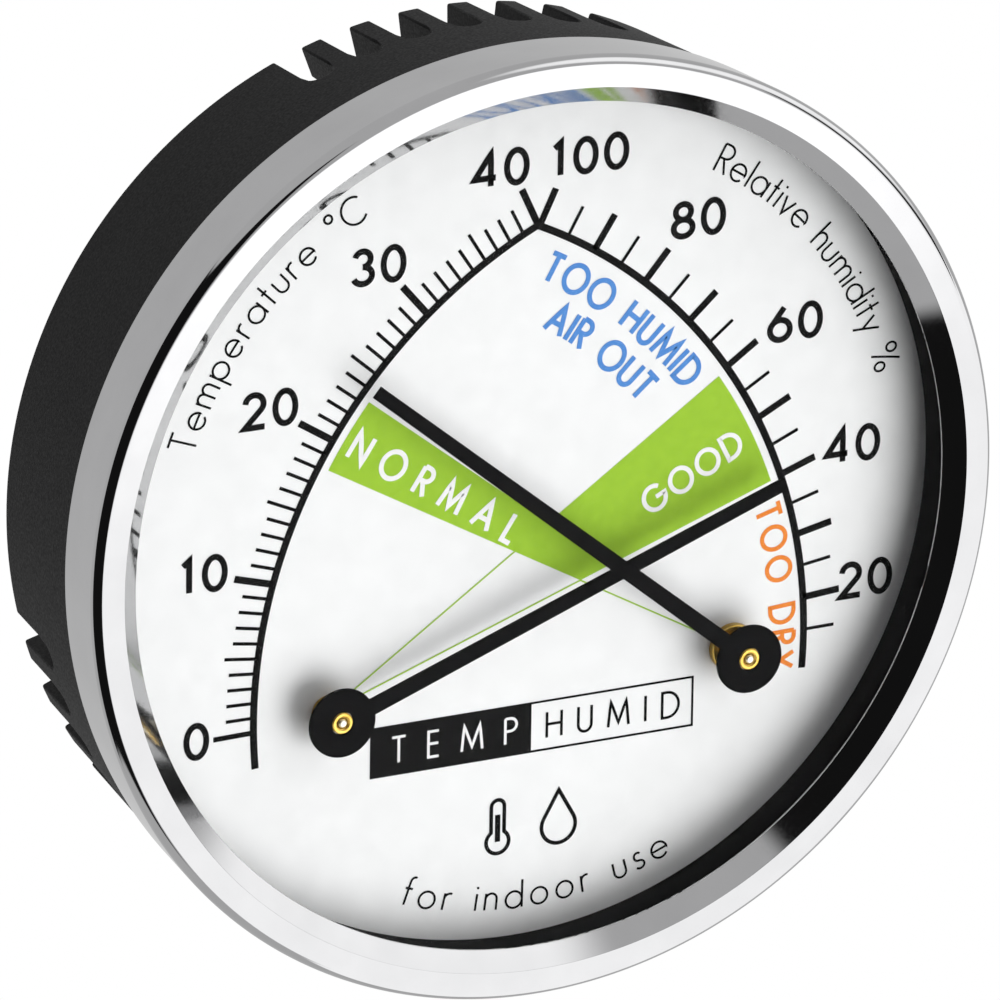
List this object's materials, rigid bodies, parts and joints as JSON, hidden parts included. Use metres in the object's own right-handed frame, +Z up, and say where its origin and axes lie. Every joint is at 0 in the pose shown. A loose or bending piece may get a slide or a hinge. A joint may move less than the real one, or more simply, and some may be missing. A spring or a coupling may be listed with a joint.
{
  "type": "dial thermo-hygrometer",
  "caption": "Round wall thermo-hygrometer: bright bezel ring, clear lens, white dial and crossing black pointers in a slotted black case.",
  "frame": {"origin": "centre of the case's rear rim, on the plane where the case meets the wall", "axes": "+Y into the wall along the dial's axis, +X to the reader's right, +Z up"},
  "size_m": [0.102, 0.028, 0.102],
  "materials": {
    "case_plastic": "fine moulded grain, matt black",
    "chrome_ring": "bright chrome plate on a turned ring",
    "lens_glass": "clear flat glass",
    "dial_enamel": "satin white lacquer with printed scales",
    "pointer_black": "matt black lacquer on thin sheet",
    "brass": "turned brass",
    "steel": "rolled steel sheet and drawn wire",
    "bimetal": "rolled bimetal strip",
    "humidity_strip": "thin metal strip with a moisture-sensitive coating"
  },
  "bodies": {
    "root": {"rear_case": "case_plastic", "bezel_ring": "chrome_ring", "lens": "lens_glass", "spacer_ring": "case_plastic", "dial_plate": "dial_enamel", "thermometer_front_bush": "brass", "thermometer_bush_nut": "brass", "thermometer_frame": "steel", "thermometer_rear_bush": "brass", "thermometer_coil": "bimetal", "thermometer_coil_post": "brass", "hygrometer_front_bush": "brass", "hygrometer_bush_nut": "brass", "hygrometer_frame": "steel"},
    "thermometer_hand": {"thermometer_pointer": "pointer_black", "thermometer_pointer_collet": "brass", "thermometer_arbor": "steel", "thermometer_coil_collet": "brass"},
    "hygrometer_hand": {"hygrometer_pointer": "pointer_black", "hygrometer_pointer_collet": "brass", "hygrometer_arbor": "steel", "hygrometer_coil_collet": "brass"},
    "hygrometer_calibration": {"hygrometer_adjuster": "brass", "hygrometer_coil": "humidity_strip"}
  },
  "joints": [
    {"name": "thermometer_turn", "type": "hinge", "parent": "root", "child": "thermometer_hand", "pos_m": [0.0245, 0, -0.01848], "axis": [0, -1, 0], "range_deg": [-25.1, 40.7], "stiffness_Nm_per_rad": 0.001},
    {"name": "hygrometer_turn", "type": "hinge", "parent": "root", "child": "hygrometer_hand", "pos_m": [-0.0217, 0, -0.01848], "axis": [0, -1, 0], "range_deg": [-18, 44.7], "stiffness_Nm_per_rad": 0.001},
    {"name": "hygrometer_adjust", "type": "hinge", "parent": "root", "child": "hygrometer_calibration", "pos_m": [-0.0217, 0, -0.01848], "axis": [0, -1, 0], "range_deg": [-10, 10]}
  ]
}
